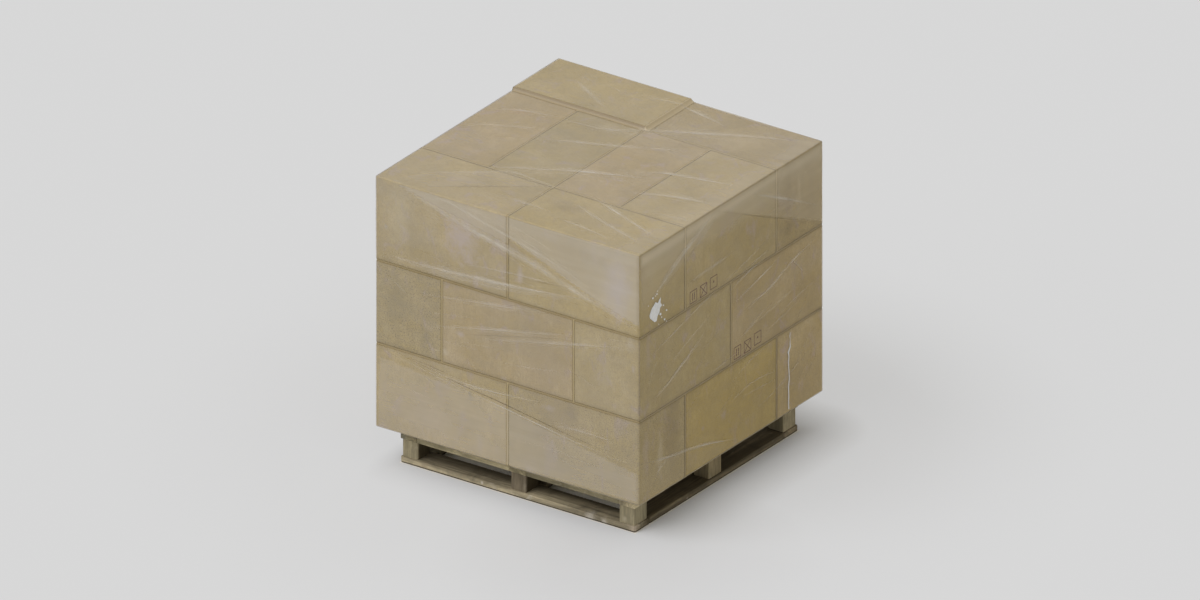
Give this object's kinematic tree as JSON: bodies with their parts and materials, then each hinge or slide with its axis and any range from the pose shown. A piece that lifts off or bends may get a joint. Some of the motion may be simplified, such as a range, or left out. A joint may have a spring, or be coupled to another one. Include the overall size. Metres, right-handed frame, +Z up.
{
  "type": "shrink wrapped pallet load",
  "caption": "Square block pallet loaded with interlocked layers of closed cardboard cartons, held by clear stretch film round the sides and over the top.",
  "frame": {"origin": "middle of the pallet's footprint, on the floor", "axes": "+X along the deck boards, +Y along the stringers, +Z up; the picture looks at the -Y and +X faces"},
  "size_m": [1.1246, 1.1246, 1.1323],
  "materials": {
    "base_board_wood": "rough sawn, weathered",
    "block_wood": "rough sawn, weathered",
    "stringer_wood": "rough sawn, weathered",
    "deck_board_wood": "rough sawn, weathered",
    "carton_board": "brown kraft, matte",
    "stretch_film": "clear, glossy, wrinkled"
  },
  "bodies": {
    "root": {"base_board_front": "base_board_wood", "base_board_back": "base_board_wood", "base_board_left": "base_board_wood", "base_board_middle": "base_board_wood", "base_board_right": "base_board_wood", "block_front_left": "block_wood", "block_front_middle": "block_wood", "block_front_right": "block_wood", "block_middle_left": "block_wood", "block_middle_middle": "block_wood", "block_middle_right": "block_wood", "block_back_left": "block_wood", "block_back_middle": "block_wood", "block_back_right": "block_wood", "stringer_left": "stringer_wood", "stringer_middle": "stringer_wood", "stringer_right": "stringer_wood", "lead_board_front_left": "stringer_wood", "lead_board_front_right": "stringer_wood", "lead_board_back_left": "stringer_wood", "lead_board_back_right": "stringer_wood", "deck_board_1": "deck_board_wood", "deck_board_2": "deck_board_wood", "deck_board_3": "deck_board_wood", "deck_board_4": "deck_board_wood", "deck_board_5": "deck_board_wood", "deck_board_6": "deck_board_wood", "deck_board_7": "deck_board_wood", "carton_bottom_1": "carton_board", "carton_bottom_2": "carton_board", "carton_bottom_3": "carton_board", "carton_bottom_4": "carton_board", "carton_bottom_5": "carton_board", "carton_bottom_6": "carton_board", "carton_bottom_7": "carton_board", "carton_bottom_8": "carton_board", "carton_middle_1": "carton_board", "carton_middle_2": "carton_board", "carton_middle_3": "carton_board", "carton_middle_4": "carton_board", "carton_middle_5": "carton_board", "carton_middle_6": "carton_board", "carton_middle_7": "carton_board", "carton_middle_8": "carton_board", "carton_top_1": "carton_board", "carton_top_2": "carton_board", "carton_top_3": "carton_board", "carton_top_4": "carton_board", "carton_top_5": "carton_board", "carton_top_6": "carton_board", "carton_top_7": "carton_board", "carton_top_8": "carton_board", "stretch_film": "stretch_film"}
  },
  "joints": []
}
